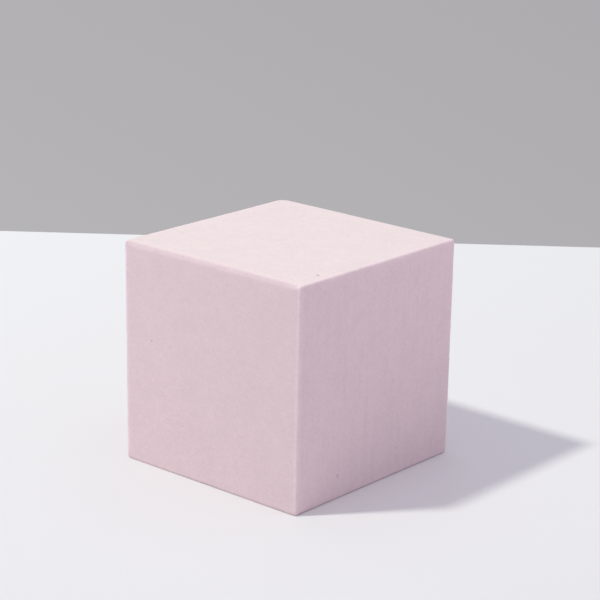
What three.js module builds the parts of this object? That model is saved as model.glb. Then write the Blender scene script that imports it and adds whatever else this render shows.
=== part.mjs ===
// A block of floral foam: one solid piece of rigid, open-celled foam, cut square from larger stock.
//
// The block stands on its base with the origin at the middle of the underside. +Z is up, +X runs
// across the block and +Y runs back along its longer side. All lengths are in millimetres.

import * as THREE from "three";

// The block is close to a cube: as high as a standard brick of foam is thick, and a little deeper than wide.
const BLOCK_HEIGHT = 80;
const BLOCK_WIDTH = 80.7;
const BLOCK_DEPTH = 83.4;

// Handling rounds each upright corner of the soft foam by its own amount.
const FRONT_RIGHT_CORNER_RADIUS = 1.3;
const BACK_RIGHT_CORNER_RADIUS = 1.4;
const BACK_LEFT_CORNER_RADIUS = 3;
const FRONT_LEFT_CORNER_RADIUS = 1.5;

// The edges round the top face and the base are eased all the way round.
const RIM_RADIUS = 1.2;

const CORNER_SEGMENTS = 5;
const RIM_SEGMENTS = 5;

const FOAM_PINK = "#edd7dd";
const FOAM_ROUGHNESS = 0.95;

// The block seen from above: a rectangle whose four corners are quarter circles.
function blockOutline() {
  const right = BLOCK_WIDTH / 2;
  const back = BLOCK_DEPTH / 2;
  const corners = [
    { x: right, y: -back, radius: FRONT_RIGHT_CORNER_RADIUS, startAngle: -Math.PI / 2 },
    { x: right, y: back, radius: BACK_RIGHT_CORNER_RADIUS, startAngle: 0 },
    { x: -right, y: back, radius: BACK_LEFT_CORNER_RADIUS, startAngle: Math.PI / 2 },
    { x: -right, y: -back, radius: FRONT_LEFT_CORNER_RADIUS, startAngle: Math.PI },
  ];
  const outline = new THREE.Shape();
  for (const { x, y, radius, startAngle } of corners) {
    const centreX = x - Math.sign(x) * radius;
    const centreY = y - Math.sign(y) * radius;
    const endAngle = startAngle + Math.PI / 2;
    outline.absarc(centreX, centreY, radius, startAngle, endAngle, false);
  }
  outline.closePath();
  return outline;
}

// The solid: the outline drawn up to the block's height, with a quarter-round rim at the top and the base.
function foamBlock() {
  const solid = new THREE.ExtrudeGeometry(blockOutline(), {
    depth: BLOCK_HEIGHT - 2 * RIM_RADIUS,
    curveSegments: CORNER_SEGMENTS,
    bevelThickness: RIM_RADIUS,
    bevelSize: RIM_RADIUS,
    bevelOffset: -RIM_RADIUS,
    bevelSegments: RIM_SEGMENTS,
  });
  const foam = new THREE.MeshStandardMaterial({
    color: FOAM_PINK,
    roughness: FOAM_ROUGHNESS,
    metalness: 0,
  });
  const block = new THREE.Mesh(solid, foam);
  block.name = "foam_block";
  block.position.z = RIM_RADIUS;
  return block;
}

const floralFoam = new THREE.Group();
floralFoam.add(foamBlock());

export default floralFoam;
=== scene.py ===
# %% [markdown]
# # A block of pink floral foam
# Florists push stems into a block like this one, and the foam grips them. It is rigid and brittle, made of
# very small open cells, and sliced from a larger slab. Nothing moves and nothing is fastened to it, so this
# lesson is about one piece: how to make a nearly plain block look like real foam. That comes from four
# things: edges softened by handling, a surface that is not quite flat, holes where cells have burst, and a
# matt, powdery finish whose grain is finer than anything that can be modelled.
#
# The imported model is loaded first. It gives the block's true size and its place, and nothing here
# changes either of them.

# %% Load the frame
import math
import random

import bmesh
import bpy
import numpy as np
from mathutils import Matrix, Vector, noise


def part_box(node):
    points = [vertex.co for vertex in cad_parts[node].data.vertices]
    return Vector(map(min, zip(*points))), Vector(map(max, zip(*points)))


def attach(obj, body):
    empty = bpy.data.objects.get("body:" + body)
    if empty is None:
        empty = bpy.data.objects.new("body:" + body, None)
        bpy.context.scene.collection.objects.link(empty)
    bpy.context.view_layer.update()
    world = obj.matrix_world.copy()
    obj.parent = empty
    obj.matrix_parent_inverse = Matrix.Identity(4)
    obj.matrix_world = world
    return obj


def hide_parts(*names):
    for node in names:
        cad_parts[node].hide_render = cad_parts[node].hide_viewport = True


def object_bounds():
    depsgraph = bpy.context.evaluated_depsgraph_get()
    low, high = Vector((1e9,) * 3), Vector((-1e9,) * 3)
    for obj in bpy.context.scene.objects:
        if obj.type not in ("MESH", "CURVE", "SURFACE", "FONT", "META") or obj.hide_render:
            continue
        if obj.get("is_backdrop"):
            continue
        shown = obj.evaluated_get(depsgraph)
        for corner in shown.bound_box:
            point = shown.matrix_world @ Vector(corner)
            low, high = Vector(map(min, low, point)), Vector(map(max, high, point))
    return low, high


MM = 0.001
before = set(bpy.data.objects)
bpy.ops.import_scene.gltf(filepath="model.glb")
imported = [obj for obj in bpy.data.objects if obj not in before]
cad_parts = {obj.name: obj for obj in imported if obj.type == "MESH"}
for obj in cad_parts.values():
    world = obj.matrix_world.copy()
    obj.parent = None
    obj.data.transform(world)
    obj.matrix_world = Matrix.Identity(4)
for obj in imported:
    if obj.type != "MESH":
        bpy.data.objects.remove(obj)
cad_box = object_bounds()
block_low, block_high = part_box("foam_block")
block_size = np.array(block_high - block_low)
block_middle = np.array(block_high + block_low) / 2
print("block, mm:", [round(float(side) / MM, 1) for side in block_size])

# %% [markdown]
# ## Where to stand
# The block looks its best seen over one of its upright corners, so that two sides and the top show. The
# camera stands well back with a long lens, because a short lens close by makes the upright edges lean
# together. Turn, dip and roll are applied in that order, as on a tripod's head.

# %% Camera
CAMERA_PLACE = Vector((465.6, -540.2, 274.7)) * MM
CAMERA_TURN = math.radians(40.475)
CAMERA_DIP = math.radians(16.908)
CAMERA_ROLL = math.radians(1.236)
LENS_MM = 127.35
SENSOR_MM = 36


def tripod_head(turn, dip, roll):
    """A camera's rotation: turned round the upright, dipped below level, then rolled on its line of sight."""
    level = math.pi / 2
    return (
        Matrix.Rotation(turn, 4, "Z")
        @ Matrix.Rotation(level - dip, 4, "X")
        @ Matrix.Rotation(roll, 4, "Z")
    )


camera_data = bpy.data.cameras.new("camera")
camera_data.lens = LENS_MM
camera_data.sensor_width = SENSOR_MM
camera = bpy.data.objects.new("camera", camera_data)
camera.matrix_world = Matrix.Translation(CAMERA_PLACE) @ tripod_head(
    CAMERA_TURN, CAMERA_DIP, CAMERA_ROLL
)
bpy.context.scene.collection.objects.link(camera)
bpy.context.scene.camera = camera
away = camera.location - Vector(block_middle)
print("camera, mm from the block's middle:", round(away.length / MM))

# %% [markdown]
# ## The table and the room
# The block stands on a white table, whose far edge shows behind it as a nearly level line, with a plain
# grey room beyond. The table is a slab with eased edges rather than an endless sheet, so that its far edge
# is where it should be. Its white is a little brighter towards the back: painted light. The grey room is the
# world itself, a little darker towards one side: painted shade on the backdrop. It needs no walls, which
# could come between the camera and the block.
#
# The table, the room and the foam all get their colours from nodes, so a few helpers are made first.

# %% Small helpers for materials
MIX_COLOUR_A, MIX_COLOUR_B, MIX_COLOUR_RESULT = 6, 7, 2


def new_material(name):
    """A node material with only its Principled shader, given back with its node tree and that shader."""
    material = bpy.data.materials.new(name)
    material.use_nodes = True
    tree = material.node_tree
    return material, tree, tree.nodes["Principled BSDF"]


def add_node(tree, kind, inputs=None, **settings):
    """A node of that kind, with its settings made and its inputs either linked or given a plain value."""
    node = tree.nodes.new(kind)
    for key, value in settings.items():
        setattr(node, key, value)
    for key, value in (inputs or {}).items():
        if isinstance(value, bpy.types.NodeSocket):
            tree.links.new(value, node.inputs[key])
        else:
            node.inputs[key].default_value = value
    return node


def calculate(tree, operation, *values):
    """The result of a Math node on up to three linked or plain values."""
    return add_node(tree, "ShaderNodeMath", dict(enumerate(values)), operation=operation).outputs[0]


def dot_product(tree, one, other):
    """How far one vector reaches along the other."""
    inputs = {0: one, 1: other}
    return add_node(tree, "ShaderNodeVectorMath", inputs, operation="DOT_PRODUCT").outputs["Value"]


def carried_over(tree, value, source, target=(0.0, 1.0)):
    """The value carried from one range to another, and held at that range's ends."""
    inputs = {"Value": value, "From Min": source[0], "From Max": source[1]}
    inputs.update({"To Min": target[0], "To Max": target[1]})
    return add_node(tree, "ShaderNodeMapRange", inputs).outputs["Result"]


def mix_colours(tree, factor, first, second):
    """The colour from a Mix node: first where the factor is 0 and second where it is 1."""
    inputs = {0: factor, MIX_COLOUR_A: first, MIX_COLOUR_B: second}
    return add_node(tree, "ShaderNodeMix", inputs, data_type="RGBA").outputs[MIX_COLOUR_RESULT]


# %% Table
TABLE_EDGE_DISTANCE = 294.6 * MM
TABLE_TURN = math.radians(39.125)
TABLE_LENGTH = 6.0
TABLE_DEPTH = 4.0
TABLE_THICKNESS = 25 * MM
TABLE_EDGE_RADIUS = 1.5 * MM
TABLE_EDGE_STEPS = 3
ROUND_PROFILE = 0.5


def table_slab():
    """A slab whose top is level with the block's base and whose far edge passes behind the block."""
    shape = bmesh.new()
    bmesh.ops.create_cube(shape, size=1)
    bmesh.ops.scale(
        shape, vec=(TABLE_LENGTH, TABLE_DEPTH, TABLE_THICKNESS), verts=shape.verts
    )
    bmesh.ops.bevel(
        shape,
        geom=shape.edges[:],
        offset=TABLE_EDGE_RADIUS,
        segments=TABLE_EDGE_STEPS,
        affect="EDGES",
        profile=ROUND_PROFILE,
    )
    shift = Vector((0, TABLE_EDGE_DISTANCE - TABLE_DEPTH / 2, -TABLE_THICKNESS / 2))
    bmesh.ops.translate(shape, vec=shift, verts=shape.verts)
    bmesh.ops.rotate(
        shape, matrix=Matrix.Rotation(TABLE_TURN, 3, "Z"), verts=shape.verts
    )
    mesh = bpy.data.meshes.new("table")
    shape.to_mesh(mesh)
    shape.free()
    table = bpy.data.objects.new("table", mesh)
    bpy.context.scene.collection.objects.link(table)
    return table


table = table_slab()
table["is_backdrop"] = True
print("table edge, mm behind the block's middle:", round(TABLE_EDGE_DISTANCE / MM, 1))

# %% Table's white
BACKWARDS = Vector((-math.sin(TABLE_TURN), math.cos(TABLE_TURN), 0))
# Painted light: the table's white is brighter towards the back.
NEAR_WHITE = (0.80, 0.79, 0.805, 1)
FAR_WHITE = (0.89, 0.89, 0.885, 1)
NEAR_AT, FAR_AT = -250 * MM, 300 * MM
TABLE_ROUGHNESS, TABLE_SHEEN = 0.6, 0.2

table_white, table_tree, table_shader = new_material("table_white")
table_place = add_node(table_tree, "ShaderNodeTexCoord").outputs["Object"]
painted_light_share = carried_over(table_tree, dot_product(table_tree, table_place, BACKWARDS), (NEAR_AT, FAR_AT))
white = mix_colours(table_tree, painted_light_share, NEAR_WHITE, FAR_WHITE)
table_tree.links.new(white, table_shader.inputs["Base Color"])
table_shader.inputs["Roughness"].default_value = TABLE_ROUGHNESS
table_shader.inputs["Specular IOR Level"].default_value = TABLE_SHEEN
table.data.materials.append(table_white)
print("table's white turns brighter over, mm:", round((FAR_AT - NEAR_AT) / MM))

# %% [markdown]
# ## Light
# Seen from the camera, the one lamp stands to the left, a little in front and high up. It is three metres
# away and throws the shadow to the right and a little back. It is small for its distance, so the shadow's
# edge is crisp beside the block and goes soft further out. The rest is light from the whole room, from the
# walls and more of it from the ceiling, which is all that the shaded side and the shadow get.

# %% Lamp
SHADOW_REACH = Vector((33.72, 44.39, -80.0)).normalized()
LAMP_DISTANCE = 3.0
LAMP_AIM = Vector((40, 40, 80)) * MM
LAMP_HALF_ANGLE = math.radians(2.45)
LAMP_DIAMETER = 2 * LAMP_DISTANCE * math.tan(LAMP_HALF_ANGLE)
LAMP_WATTS = 46.3
LAMP_COLOUR = (0.955, 1.0, 0.897)

lamp_data = bpy.data.lights.new("lamp", "AREA")
lamp_data.shape = "DISK"
lamp_data.size = LAMP_DIAMETER
lamp_data.energy = LAMP_WATTS
lamp_data.color = LAMP_COLOUR
lamp = bpy.data.objects.new("lamp", lamp_data)
lamp.location = LAMP_AIM - SHADOW_REACH * LAMP_DISTANCE
lamp.rotation_euler = SHADOW_REACH.to_track_quat("-Z", "Y").to_euler()
bpy.context.scene.collection.objects.link(lamp)
print("lamp, mm across:", round(LAMP_DIAMETER / MM), "mm above the table:", round(lamp.location.z / MM))

# %% Room
BRIGHTEST_WAY = Vector((0.12, 0.16, 0.98))
CEILING_LIGHT = (0.847, 0.827, 0.929, 1)
WALLS_LIGHT = (0.156, 0.162, 0.179, 1)
DARKER_WAY = Vector((0.326, 0.273, 0.904))
# Painted shade: the grey seen behind the block is darker towards one side.
PALE_GREY = (0.613, 0.603, 0.618, 1)
DEEP_GREY = (0.193, 0.183, 0.198, 1)

room = bpy.data.worlds.new("room")
room.use_nodes = True
bpy.context.scene.world = room
room_tree = room.node_tree
room_tree.nodes.clear()
direction = add_node(room_tree, "ShaderNodeTexCoord").outputs["Generated"]
ceiling_share = dot_product(room_tree, direction, BRIGHTEST_WAY)
light_colour = mix_colours(room_tree, ceiling_share, WALLS_LIGHT, CEILING_LIGHT)
# A dot product runs from -1 to 1, and half of it plus a half runs from 0 to 1.
painted_shade_share = calculate(room_tree, "MULTIPLY_ADD", dot_product(room_tree, direction, DARKER_WAY), 0.5, 0.5)
grey = mix_colours(room_tree, painted_shade_share, PALE_GREY, DEEP_GREY)
sight = add_node(room_tree, "ShaderNodeLightPath")
room_light = add_node(room_tree, "ShaderNodeBackground", {"Color": light_colour})
room_seen = add_node(room_tree, "ShaderNodeBackground", {"Color": grey})
light_or_seen = add_node(
    room_tree,
    "ShaderNodeMixShader",
    {0: sight.outputs["Is Camera Ray"], 1: room_light.outputs[0], 2: room_seen.outputs[0]},
)
add_node(room_tree, "ShaderNodeOutputWorld", {"Surface": light_or_seen.outputs[0]})
bpy.context.scene.view_settings.view_transform = "Standard"
print("room nodes:", len(room_tree.nodes))

# %% [markdown]
# ## The block's shape
# A bevelled cube is the quick way to make this block, and it looks like one: every edge is the same and
# every face is dead flat. Real foam is so weak that a thumb rounds its edges, each by a different amount.
# So the block starts as a lattice of small squares on its six faces. Each point is then moved in code, first
# to round the edges and afterwards to wear and pit the surface. The squares are small enough to carry dents
# of a millimetre or so, and they are a little smaller near the edges, where the shape turns.

# %% Lattice on the six faces
LATTICE_PITCH = 0.72 * MM
RIM_CROWDING = 0.2


def shell_lattice(cells):
    """Whole-number points on the outside of a box of that many cells, and the squares between them."""
    number_of = {}
    squares = []
    for axis in range(3):
        across, up = (axis + 1) % 3, (axis + 2) % 3
        for side in (0, cells[axis]):
            for a in range(cells[across]):
                for b in range(cells[up]):
                    ring = []
                    for step_a, step_b in ((0, 0), (1, 0), (1, 1), (0, 1)):
                        point = [side, side, side]
                        point[across] = a + step_a
                        point[up] = b + step_b
                        ring.append(number_of.setdefault(tuple(point), len(number_of)))
                    squares.append(ring if side else ring[::-1])
    return np.array(list(number_of)), squares


cells = [round(side / LATTICE_PITCH) for side in block_size]
lattice, squares = shell_lattice(cells)
share = 2 * lattice / np.array(cells) - 1
share += RIM_CROWDING * np.sin(np.pi * share) / np.pi
half = block_size / 2
sharp = share * half
print("lattice points:", len(sharp), "squares:", len(squares))

# %% [markdown]
# ## Where cells have burst
# Here and there a bubble larger than its neighbours was cut open, which leaves a pinhole. Most are well under
# a millimetre across. A few that show clearly have places of their own, and the rest are scattered by chance.
# Two marks are made of pinholes that run together, so that they look torn and not drilled. A pinhole is about
# the size of a lattice square, so the squares round it are divided more finely first.

# %% Pinholes
SIDES = {
    "left": (0, -1),
    "right": (0, 1),
    "front": (1, -1),
    "back": (1, 1),
    "base": (2, -1),
    "top": (2, 1),
}
LOW_CORNER_MARK = [(-20.1, 8.5, 0.65), (-20.2, 8.0, 0.5)]
TOP_CORNER_MARK = [(34.9, -26.6, 0.6), (35.4, -27.0, 0.75), (35.7, -27.7, 0.7), (36.4, -28.1, 0.6)]
CLEAR_PINHOLES_MM = {
    "front": [(-27.4, 46.1, 0.55), (20.4, 40.7, 0.4), (-18.0, 66.5, 0.35), (-12.7, 18.5, 0.35)],
    "right": LOW_CORNER_MARK + [(-29.2, 75.4, 0.5), (8.8, 35.5, 0.5), (20.8, 63.2, 0.35)],
    "top": TOP_CORNER_MARK + [(-13, 35, 0.4)],
}
SCATTERED_ON_A_SIDE = 16
SMALLEST_PINHOLE, LARGEST_PINHOLE = 0.25 * MM, 0.45 * MM
FEWER_LARGE_ONES = 3
PINHOLE_MARGIN = 2.5 * MM
CHANCE_SEED = 11
chance = random.Random(CHANCE_SEED)


def on_side(side, across, along):
    """A point on one side of the sharp-edged block. Along runs upwards, or backwards on the top and base."""
    axis, sign = SIDES[side]
    point = np.zeros(3)
    first, second = [other for other in range(3) if other != axis]
    point[axis] = sign * half[axis]
    point[first] = across
    point[second] = along
    return point


def clear_pinholes():
    """The pinholes with places of their own, as (point, radius). Heights are measured up from the base."""
    found = []
    for side, marks in CLEAR_PINHOLES_MM.items():
        lift = 0 if side == "top" else half[2]
        for across, along, radius in marks:
            found.append((on_side(side, across * MM, along * MM - lift), radius * MM))
    return found


def scattered_pinholes():
    """Pinholes by chance on every side, small ones far more often than large ones."""
    found = []
    for side, (axis, _) in SIDES.items():
        first, second = [half[other] - PINHOLE_MARGIN for other in range(3) if other != axis]
        for _ in range(SCATTERED_ON_A_SIDE):
            place = on_side(side, chance.uniform(-first, first), chance.uniform(-second, second))
            growth = chance.random() ** FEWER_LARGE_ONES
            found.append((place, SMALLEST_PINHOLE + growth * (LARGEST_PINHOLE - SMALLEST_PINHOLE)))
    return found


pinholes = clear_pinholes() + scattered_pinholes()
print("pinholes:", len(pinholes))

# %% Divide the squares round each pinhole
REFINED_REACH = 1.25
REFINED_CUTS = 3
SQUARE_CORNERS = 4


def divided_round(points, faces, marks):
    """The same lattice with each square round a mark cut into four by four.

    The squares beside those gain points along a side. They are fanned out from their middles, so that no
    triangle can have all its points in one line.
    """
    shape = bmesh.new()
    for point in points:
        shape.verts.new(point)
    shape.verts.ensure_lookup_table()
    for face in faces:
        shape.faces.new([shape.verts[number] for number in face])
    shape.faces.ensure_lookup_table()
    middles = np.array([face.calc_center_median() for face in shape.faces])
    chosen = set()
    for place, radius in marks:
        reach = radius * REFINED_REACH + LATTICE_PITCH / 2
        near = np.abs(middles - place).max(axis=1) < reach
        chosen.update(np.flatnonzero(near).tolist())
    edges = {edge for number in chosen for edge in shape.faces[number].edges}
    edges = sorted(edges, key=lambda edge: edge.index)
    bmesh.ops.subdivide_edges(shape, edges=edges, cuts=REFINED_CUTS, use_grid_fill=True)
    beside = [face for face in shape.faces if len(face.verts) > SQUARE_CORNERS]
    bmesh.ops.poke(shape, faces=beside)
    shape.verts.index_update()
    return shape


shape = divided_round(sharp.tolist(), squares, pinholes)
sharp = np.array([vert.co for vert in shape.verts])
print("points after dividing:", len(sharp))

# %% [markdown]
# ## Softened edges
# Every edge is rounded by a radius of its own, which also wanders a little along the edge. A point near an
# edge is pulled back to a smaller box and pushed out again by that radius, so the faces stay flat and keep
# the true size. The front edge of the top has been handled most. Of the upright edges, the back left one is
# the roundest and the one nearest the camera is the crispest, and both keep their own look right up to the
# top. The left side wasn't cut quite square: the block keeps its full width at the top, and at the base that
# side leans in by about a millimetre.

# %% Round the edges
LEFT_SIDE_LEAN = 1.15 * MM
EDGE_RADII_MM = {
    ("front", "right"): 0.7,
    ("front", "left"): 0.9,
    ("back", "left"): 3.4,
    ("back", "right"): 1.2,
    ("front", "top"): 2.0,
    ("right", "top"): 1.0,
    ("back", "top"): 1.3,
    ("left", "top"): 0.9,
    ("front", "base"): 0.4,
    ("right", "base"): 0.8,
    ("back", "base"): 1.3,
    ("left", "base"): 1.3,
}
UPRIGHT_WEIGHT = 6
EDGE_INFLUENCE = 1.5 * MM
EDGE_FALLOFF = 3
EDGE_WANDER = 0.12
EDGE_WANDER_LENGTH = 14 * MM
PATTERNS = ("edge", "dimple", "saw", "rim", "nick", "sway", "grain", "crumb", "dent")
PATTERN_STEP = Vector((1.7, 3.1, 5.3))


def noise_at(points, size, pattern):
    """Smooth noise from -1 to 1 at each point, with hills about that size. Each named pattern is its own."""
    offset = PATTERN_STEP * (PATTERNS.index(pattern) + 1)
    return np.array([noise.noise(Vector(point) / size + offset) for point in points])


def gaps_to_sides(points):
    """How far each point is inside each of the six sides."""
    return {
        side: half[axis] - sign * points[:, axis] for side, (axis, sign) in SIDES.items()
    }


def edge_radius(points, gaps):
    """The rounding radius at each point, blended where edges meet, mostly from the upright one."""
    total = np.zeros(len(points))
    weights = np.zeros(len(points))
    for (one, other), radius in EDGE_RADII_MM.items():
        away = np.hypot(gaps[one], gaps[other])
        weight = 1 / (away**2 + EDGE_INFLUENCE**2) ** EDGE_FALLOFF
        if other in ("left", "right"):
            weight *= UPRIGHT_WEIGHT
        total += weight * radius * MM
        weights += weight
    return total / weights * (1 + EDGE_WANDER * noise_at(points, EDGE_WANDER_LENGTH, "edge"))


gaps = gaps_to_sides(sharp)
radius = edge_radius(sharp, gaps)[:, None]
inner = np.clip(sharp, radius - half, half - radius)
outward = sharp - inner
outward /= np.linalg.norm(outward, axis=1)[:, None]
rounded = inner + outward * radius
drop = 0.5 - rounded[:, 2] / block_size[2]
towards_left = 0.5 - rounded[:, 0] / block_size[0]
rounded[:, 0] += LEFT_SIDE_LEAN * drop * towards_left
print("edge radii, mm:", round(radius.min() / MM, 2), "to", round(radius.max() / MM, 2))

# %% [markdown]
# ## Dents, saw marks and wear
# Seen from arm's length foam looks smooth, and anything much deeper than a tenth of a millimetre reads as
# damage. So the faces get only shallow sways, dimples, grain and the saw's upright marks. The edges are
# nicked a little deeper, and deepest along the front edge of the top, where fingers have pressed. Everything
# is cut into the block and nothing is added, as on the real thing, so it never grows past its true size.

# %% Shallow shapes to carve
SWAY_DEPTH, SWAY_LENGTH = 0.08 * MM, 26 * MM
DIMPLE_DEPTH, DIMPLE_SIZE, DIMPLE_PATCH = 0.035 * MM, 3.2 * MM, 9 * MM
DIMPLE_SPREAD = 0.55
GRAIN_DEPTH, GRAIN_SIZE = 0.008 * MM, 1.5 * MM
SAW_DEPTH, SAW_PITCH, SAW_STRETCH = 0.03 * MM, 1.9 * MM, 18
NICK_DEPTH, NICK_SIZE, NICK_REACH = 0.14 * MM, 4.5 * MM, 1.5 * MM
NICK_THRESHOLD = 0.25
CRUMB_DEPTH, CRUMB_SIZE = 0.05 * MM, 1.4 * MM
DENT_DEPTH, DENT_SIZE, DENT_REACH = 0.35 * MM, 3.4 * MM, 1.6 * MM
PINHOLE_STEEPNESS = 0.4
RIM_RAGGEDNESS, RIM_RAGGED_SIZE = 0.25, 0.7 * MM
SAWN_SHARPNESS = 3


def raised(values):
    """Noise from -1 to 1 as a depth share from 0 to 1."""
    return np.clip(0.5 + 0.5 * values, 0, 1)


def close_to(distance, reach):
    """1 where the distance is nothing, falling smoothly to almost 0 at twice the reach."""
    return np.exp(-((distance / reach) ** 2))


def dimple_share(points):
    """Shallow round hollows: 1 in the middle of each, 0 between them."""
    near = np.array([noise.voronoi(Vector(point) / DIMPLE_SIZE)[0][0] for point in points])
    return np.clip(1 - near / DIMPLE_SPREAD, 0, 1) ** 2 * raised(noise_at(points, DIMPLE_PATCH, "dimple"))


def saw_share(points):
    """Upright saw marks: noise stretched upwards, so that it changes quickly only across the side."""
    flattened = points * np.array([1, 1, 1 / SAW_STRETCH])
    return raised(noise_at(flattened, SAW_PITCH, "saw"))


def pinhole_depths(points, marks):
    """How deep each point sinks into the pinholes, each a small bowl with a ragged rim."""
    depth = np.zeros(len(points))
    ragged = 1 + RIM_RAGGEDNESS * noise_at(points, RIM_RAGGED_SIZE, "rim")
    for place, reach in marks:
        away = np.linalg.norm(points - place, axis=1) * ragged / reach
        bowl = np.clip(1 - away**2, 0, 1) ** 2
        depth = np.maximum(depth, PINHOLE_STEEPNESS * reach * bowl)
    return depth


# %% Carve the surface
# The second smallest gap to a side is the distance to the nearest edge.
edge_gap = np.sort(np.array(list(gaps.values())), axis=0)[1]
at_edge = close_to(edge_gap, NICK_REACH)
sawn = np.abs(outward[:, 0]) ** SAWN_SHARPNESS
nicks = np.clip(noise_at(rounded, NICK_SIZE, "nick") - NICK_THRESHOLD, 0, 1) / (1 - NICK_THRESHOLD)
dents = close_to(gaps["front"], DENT_REACH) * close_to(gaps["top"], DENT_REACH)
dents *= raised(noise_at(rounded, DENT_SIZE, "dent"))
pits = pinhole_depths(sharp, pinholes)
dimples = dimple_share(rounded)
depth = (
    SWAY_DEPTH * raised(noise_at(rounded, SWAY_LENGTH, "sway"))
    + DIMPLE_DEPTH * dimples
    + GRAIN_DEPTH * raised(noise_at(rounded, GRAIN_SIZE, "grain"))
    + SAW_DEPTH * sawn * saw_share(rounded)
    + NICK_DEPTH * at_edge * nicks
    + CRUMB_DEPTH * at_edge * raised(noise_at(rounded, CRUMB_SIZE, "crumb"))
    + DENT_DEPTH * dents
    + pits
)
carved = rounded - outward * depth[:, None]
print("deepest point, mm:", round(depth.max() / MM, 2), "mean, mm:", round(depth.mean() / MM, 3))

# %% Make the block
for vert, point in zip(shape.verts, carved + block_middle):
    vert.co = point
mesh = bpy.data.meshes.new("pink_foam_block")
shape.to_mesh(mesh)
shape.free()
mesh.shade_smooth()
foam = bpy.data.objects.new("pink_foam_block", mesh)
bpy.context.scene.collection.objects.link(foam)
triangles = sum(len(face.vertices) - 2 for face in mesh.polygons)
print("triangles:", triangles)

# %% [markdown]
# ## What the finish needs to know
# The finish changes from place to place. Painted shade makes a darker band along the front edge of the top
# and darkens each pinhole, painted highlight and some wear from rubbing make the edges paler, a painted sheen
# makes the top paler and less pink, and the sawn sides are streaked. Painted light and shade also make the
# right side lighter upwards and darker towards its base, most of all at its back, and the front side a little
# darker towards the corner nearest the camera. A material can't tell where an edge is, so each of these is
# worked out here, where the shape is made, and stored as a number on every point of the block.

# %% Store where the finish changes
EDGE_SHADE_REACH_ON_TOP, EDGE_SHADE_REACH_DOWN = 1.3 * MM, 1.8 * MM
EDGE_SHADE_CLEARANCE = 3 * MM
HIGHLIGHT_AND_WEAR_REACH = 1.1 * MM
PIT_SHADE_FULL_DEPTH = 0.24 * MM
SHEEN_SHARPNESS, SIDE_SHADING_SHARPNESS = 3, 2
SIDE_SHADING_AT_FRONT, SIDE_SHADING_GAIN_BACKWARDS, SIDE_SHADING_LIFT = 0.6, 0.8, 0.35


def remember(name, values):
    """Stores one number for each point of the block, for its finish to read."""
    attribute = mesh.attributes.new(name, "FLOAT", "POINT")
    attribute.data.foreach_set("value", np.asarray(values, np.float32))
    print(name, "from", round(float(values.min()), 2), "to", round(float(values.max()), 2))


width_share = sharp[:, 0] / block_size[0] + 0.5
depth_share = sharp[:, 1] / block_size[1] + 0.5
height_share = sharp[:, 2] / block_size[2] + 0.5
# Painted light and shade: right side lighter upwards, darker at its base; front side darker to the right.
on_right = np.clip(outward[:, 0], 0, 1) ** SIDE_SHADING_SHARPNESS
on_front = np.clip(-outward[:, 1], 0, 1) ** SIDE_SHADING_SHARPNESS
steepness = SIDE_SHADING_AT_FRONT + SIDE_SHADING_GAIN_BACKWARDS * depth_share
side_shading_share = (2 * height_share - 1) * steepness + SIDE_SHADING_LIFT
# Painted shade: a darker band along the front edge of the top, where it rolls over, kept clear of the right
# side.
painted_edge_shade = close_to(gaps["front"], EDGE_SHADE_REACH_ON_TOP) * close_to(gaps["top"], EDGE_SHADE_REACH_DOWN)
painted_edge_shade *= 1 - close_to(gaps["right"], EDGE_SHADE_CLEARANCE)
clear_of_base = np.clip(gaps["base"] / HIGHLIGHT_AND_WEAR_REACH - 1, 0, 1)
remember("painted_edge_shade", painted_edge_shade)
# Paler edges, clear of the base: painted highlight, and partly wear from rubbing.
remember("highlight_and_wear", close_to(edge_gap, HIGHLIGHT_AND_WEAR_REACH) * (1 - painted_edge_shade) * clear_of_base)
# Painted shade in the pinholes, darker as a pinhole deepens.
remember("painted_pit_shade", np.clip(pits / PIT_SHADE_FULL_DEPTH, 0, 1))
# Painted sheen: the top is made paler and less pink.
remember("painted_sheen", np.clip(outward[:, 2], 0, 1) ** SHEEN_SHARPNESS)
remember("sawn", sawn)
remember("painted_side_shading", side_shading_share * on_right - width_share * on_front)

# %% [markdown]
# ## The foam's finish
# Dry floral foam is as matt as chalk. Its colour goes right through, so wear doesn't expose another colour.
# The edges are painted paler, partly as a painted highlight and partly for wear from rubbing, since crushed
# cells scatter more light, and the pinholes get painted shade. The cells themselves are far too many to
# model, so their grain is in the material: a small change of tone from cell to cell, and a fine relief.
#
# The same pattern of cells is wanted at two sizes, so it is a node group with its own size and contrast.

# %% Foam cells as a node group
NOISE_MIDDLE = 0.5


def add_sockets(group, names, direction):
    """Sockets of a node group, each given as its name and its type."""
    for name, kind in names.items():
        group.interface.new_socket(name, in_out=direction, socket_type=kind)


def foam_cells_group():
    """Cells of foam. Tone changes round 1 from cell to cell. Height is lowest in a cell's middle."""
    group = bpy.data.node_groups.new("foam_cells", "ShaderNodeTree")
    number = "NodeSocketFloat"
    wanted = {"Place": "NodeSocketVector", "Cells per Metre": number, "Contrast": number}
    add_sockets(group, wanted, "INPUT")
    add_sockets(group, {"Tone": number, "Height": number}, "OUTPUT")
    given = add_node(group, "NodeGroupInput").outputs
    cell = add_node(
        group, "ShaderNodeTexVoronoi", {"Vector": given["Place"], "Scale": given["Cells per Metre"]}
    )
    lot = add_node(group, "ShaderNodeSeparateColor", {"Color": cell.outputs["Color"]}).outputs[0]
    centred = calculate(group, "SUBTRACT", lot, NOISE_MIDDLE)
    tone = calculate(group, "MULTIPLY_ADD", centred, given["Contrast"], 1.0)
    add_node(group, "NodeGroupOutput", {"Tone": tone, "Height": cell.outputs["Distance"]})
    return group


foam_cells = foam_cells_group()
print("foam cells group nodes:", len(foam_cells.nodes))


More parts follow.
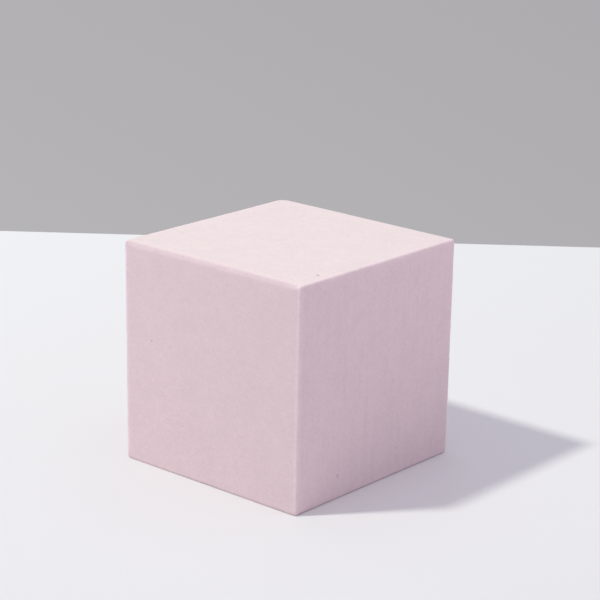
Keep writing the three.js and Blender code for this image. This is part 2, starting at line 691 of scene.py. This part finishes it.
def cells_of(tree, place, per_metre, contrast):
    """One layer of foam cells: its tone and its height."""
    layer = tree.nodes.new("ShaderNodeGroup")
    layer.node_tree = foam_cells
    tree.links.new(place, layer.inputs["Place"])
    layer.inputs["Cells per Metre"].default_value = per_metre
    layer.inputs["Contrast"].default_value = contrast
    return layer.outputs["Tone"], layer.outputs["Height"]


# %% [markdown]
# ## Tone
# Six things make the foam lighter or darker: the cells at two sizes, cloudy patches nearly a centimetre
# across, the streaks that the saw left on the two sawn sides, a slow painted light and shade over the front
# and right sides, and painted shade in the pinholes. Each is a number close to 1, apart from the pinholes,
# which go down to about 0.7. They are multiplied together and then scale the colour, so that its hue stays as
# it is.

# %% Tone of the foam
FINE_CELLS, FINE_CONTRAST = 2600, 0.06
COARSE_CELLS, COARSE_CONTRAST = 900, 0.035
CLOUDS_PER_METRE, CLOUD_DETAIL, CLOUD_ROUGHNESS = 130.0, 4.0, 0.55
CLOUD_RANGE, CLOUD_TONES = (0.3, 0.7), (0.985, 1.015)
STREAKS_PER_METRE, STREAK_DETAIL, STREAK_STRETCH, STREAK_CONTRAST = 420, 2.0, 14, 0.08
SIDE_SHADING_CONTRAST = 0.045
PIT_SHADE_TONE = -0.29

pink_foam, foam_tree, foam_shader = new_material("pink_foam")
foam_place = add_node(foam_tree, "ShaderNodeTexCoord").outputs["Object"]


def stored(name):
    """A number stored on the block's points."""
    return add_node(foam_tree, "ShaderNodeAttribute", attribute_name=name).outputs["Fac"]


fine_tone, fine_height = cells_of(foam_tree, foam_place, FINE_CELLS, FINE_CONTRAST)
coarse_tone, coarse_height = cells_of(foam_tree, foam_place, COARSE_CELLS, COARSE_CONTRAST)
cloud_inputs = {"Scale": CLOUDS_PER_METRE, "Detail": CLOUD_DETAIL, "Roughness": CLOUD_ROUGHNESS}
clouds = add_node(foam_tree, "ShaderNodeTexNoise", {"Vector": foam_place, **cloud_inputs}).outputs["Fac"]
cloud_tone = carried_over(foam_tree, clouds, CLOUD_RANGE, CLOUD_TONES)

squeeze = {0: foam_place, 1: (1.0, 1.0, 1 / STREAK_STRETCH)}
squeezed = add_node(foam_tree, "ShaderNodeVectorMath", squeeze, operation="MULTIPLY").outputs[0]
streak_inputs = {"Vector": squeezed, "Scale": STREAKS_PER_METRE, "Detail": STREAK_DETAIL}
streaks = add_node(foam_tree, "ShaderNodeTexNoise", streak_inputs).outputs["Fac"]
streaks_centred = calculate(foam_tree, "SUBTRACT", streaks, NOISE_MIDDLE)
streak_contrast = calculate(foam_tree, "MULTIPLY", stored("sawn"), STREAK_CONTRAST)
streak_tone = calculate(foam_tree, "MULTIPLY_ADD", streaks_centred, streak_contrast, 1.0)

# Painted light and shade on the front and right sides, from the stored side shading.
side_shading_tone = calculate(foam_tree, "MULTIPLY_ADD", stored("painted_side_shading"), SIDE_SHADING_CONTRAST, 1.0)
# Painted shade: the pinholes darken the tone down to about 0.7.
pit_shade_tone = calculate(foam_tree, "MULTIPLY_ADD", stored("painted_pit_shade"), PIT_SHADE_TONE, 1.0)
tone = fine_tone
for layer in (coarse_tone, cloud_tone, streak_tone, side_shading_tone, pit_shade_tone):
    tone = calculate(foam_tree, "MULTIPLY", tone, layer)
print("grain, mm:", round(1 / FINE_CELLS / MM, 2), "and", round(1 / COARSE_CELLS / MM, 2))

# %% [markdown]
# ## Colour
# The body is one pink. A painted sheen makes the top paler and less pink, painted highlight and some wear
# from rubbing make the edges paler, and painted shade leaves a darker band along the front edge of the top.
# The clouds break up the last two, so that neither is even.

# %% Colour of the foam
BODY_PINK = (0.866, 0.676, 0.727, 1)
PAINTED_SHEEN_PINK = (0.861, 0.739, 0.730, 1)
HIGHLIGHT_AND_WEAR_PINK = (0.97, 0.78, 0.81, 1)
# Painted shade for the band along the front edge of the top.
EDGE_SHADE_PINK = (0.79, 0.62, 0.665, 1)

# Painted sheen: the top is mixed towards a paler, less pink colour.
colour = mix_colours(foam_tree, stored("painted_sheen"), BODY_PINK, PAINTED_SHEEN_PINK)
unevenness = calculate(foam_tree, "ADD", clouds, NOISE_MIDDLE)
# Paler edges (painted highlight and wear from rubbing), then the band of painted shade on the top's front
# edge.
for name, edge_pink in (("highlight_and_wear", HIGHLIGHT_AND_WEAR_PINK), ("painted_edge_shade", EDGE_SHADE_PINK)):
    edge_share = calculate(foam_tree, "MULTIPLY", stored(name), unevenness)
    colour = mix_colours(foam_tree, edge_share, colour, edge_pink)
toning = {0: colour, "Scale": tone}
toned = add_node(foam_tree, "ShaderNodeVectorMath", toning, operation="SCALE").outputs[0]
foam_tree.links.new(toned, foam_shader.inputs["Base Color"])
for name, pink in (("body", BODY_PINK), ("dusty top", PAINTED_SHEEN_PINK)):
    print(name, "red over green:", round(pink[0] / pink[1], 2))

# %% [markdown]
# ## Matt and powdery
# Nothing shines, but the clouds make some patches a touch less matt than others. The relief of the cells is a
# few hundredths of a millimetre deep. It is too fine to carve, so it is added here to the carved surface.

# %% Relief of the foam
MATT_RANGE = (0.86, 0.97)
FINE_RELIEF, COARSE_RELIEF = 0.03 * MM, 0.045 * MM
RELIEF_STRENGTH = 0.5

roughness = carried_over(foam_tree, clouds, CLOUD_RANGE, MATT_RANGE)
foam_tree.links.new(roughness, foam_shader.inputs["Roughness"])
coarse_inputs = {"Strength": RELIEF_STRENGTH, "Distance": COARSE_RELIEF, "Height": coarse_height}
coarse_bump = add_node(foam_tree, "ShaderNodeBump", coarse_inputs).outputs[0]
fine_inputs = {"Strength": RELIEF_STRENGTH, "Distance": FINE_RELIEF, "Height": fine_height}
fine_bump = add_node(foam_tree, "ShaderNodeBump", {**fine_inputs, "Normal": coarse_bump}).outputs[0]
foam_tree.links.new(fine_bump, foam_shader.inputs["Normal"])
foam.data.materials.append(pink_foam)
print("pink foam nodes:", len(foam_tree.nodes))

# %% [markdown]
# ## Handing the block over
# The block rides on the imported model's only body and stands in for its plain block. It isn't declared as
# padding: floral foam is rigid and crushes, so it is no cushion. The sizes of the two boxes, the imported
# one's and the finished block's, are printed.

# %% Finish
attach(foam, "root")
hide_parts("foam_block")

visual_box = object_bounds()
boxes = {
    name: [[float(value) for value in corner] for corner in box]
    for name, box in (("cad", cad_box), ("visual", visual_box))
}
for name, (low, high) in boxes.items():
    print(name, "size, mm:", [round((top - bottom) / MM, 2) for bottom, top in zip(low, high)])
